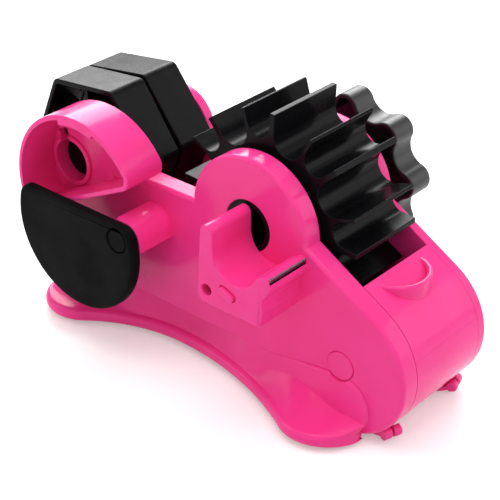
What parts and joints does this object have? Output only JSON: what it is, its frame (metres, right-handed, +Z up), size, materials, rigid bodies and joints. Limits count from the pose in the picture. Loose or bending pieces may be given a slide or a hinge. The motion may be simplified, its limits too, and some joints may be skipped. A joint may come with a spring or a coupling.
{
  "type": "tape dispenser",
  "caption": "Hand-turned counter tape dispenser with a finned station drum, a split core spool, a side cup, a swing plate and a cutter clip on a flared base.",
  "frame": {"origin": "on the table under the middle of the body, half-way between the bay's two liners", "axes": "+X towards the nose, +Y towards the knob side, +Z up"},
  "size_m": [0.2263, 0.1095, 0.129],
  "materials": {
    "pink_plastic": "moulded gloss",
    "black_plastic": "moulded semi-gloss",
    "soft_pink": "soft moulded",
    "steel": "bright",
    "washer_nylon": "plain"
  },
  "bodies": {
    "chassis": {"base_tray": "pink_plastic", "front_side": "pink_plastic", "front_liner": "pink_plastic", "rear_side": "pink_plastic", "rear_liner": "pink_plastic", "nose_deck": "pink_plastic", "nose_panel": "pink_plastic", "nose_tie": "pink_plastic", "nose_caps": "pink_plastic", "front_liner_screws": "steel", "rear_liner_screws": "steel", "base_screws": "steel", "side_cup": "pink_plastic", "side_cup_screws": "steel", "plate_arm": "pink_plastic", "arm_screws": "steel", "pivot_screw": "black_plastic", "pivot_washer": "steel", "drum_washers": "washer_nylon", "spool_axle": "black_plastic", "spool_spacers": "black_plastic", "axle_clip": "steel", "axle_cap": "black_plastic", "clip_body": "pink_plastic", "clip_blade": "steel", "clip_fixing_screw": "steel", "button_spring": "steel", "suction_cup_front_right": "soft_pink", "suction_cup_rear_right": "soft_pink", "suction_cup_front_left": "soft_pink", "suction_cup_rear_left": "soft_pink"},
    "drum_body": {"drum": "black_plastic", "knob": "black_plastic", "knob_screw": "steel"},
    "front_spool": {"spool_front": "black_plastic"},
    "rear_spool": {"spool_rear": "black_plastic"},
    "plate": {"swing_plate": "black_plastic"},
    "button": {"release_button": "pink_plastic"}
  },
  "joints": [
    {"name": "drum_turn", "type": "hinge", "parent": "chassis", "child": "drum_body", "pos_m": [0.029, 0, 0.081], "axis": [0, 1, 0], "continuous": true},
    {"name": "spool_front_turn", "type": "hinge", "parent": "chassis", "child": "front_spool", "pos_m": [-0.0765, -0.0118, 0.0772], "axis": [0, 1, 0], "continuous": true},
    {"name": "spool_rear_turn", "type": "hinge", "parent": "chassis", "child": "rear_spool", "pos_m": [-0.0765, 0.0118, 0.0772], "axis": [0, 1, 0], "continuous": true},
    {"name": "plate_swing", "type": "hinge", "parent": "chassis", "child": "plate", "pos_m": [-0.0231, -0.0565, 0.0655], "axis": [0, 1, 0], "range_deg": [0, 26]},
    {"name": "button_press", "type": "slide", "parent": "chassis", "child": "button", "axis": [0, 1, 0], "range_m": [0, 0.0016], "stiffness_N_per_m": 300, "deforming": ["button_spring"]}
  ]
}
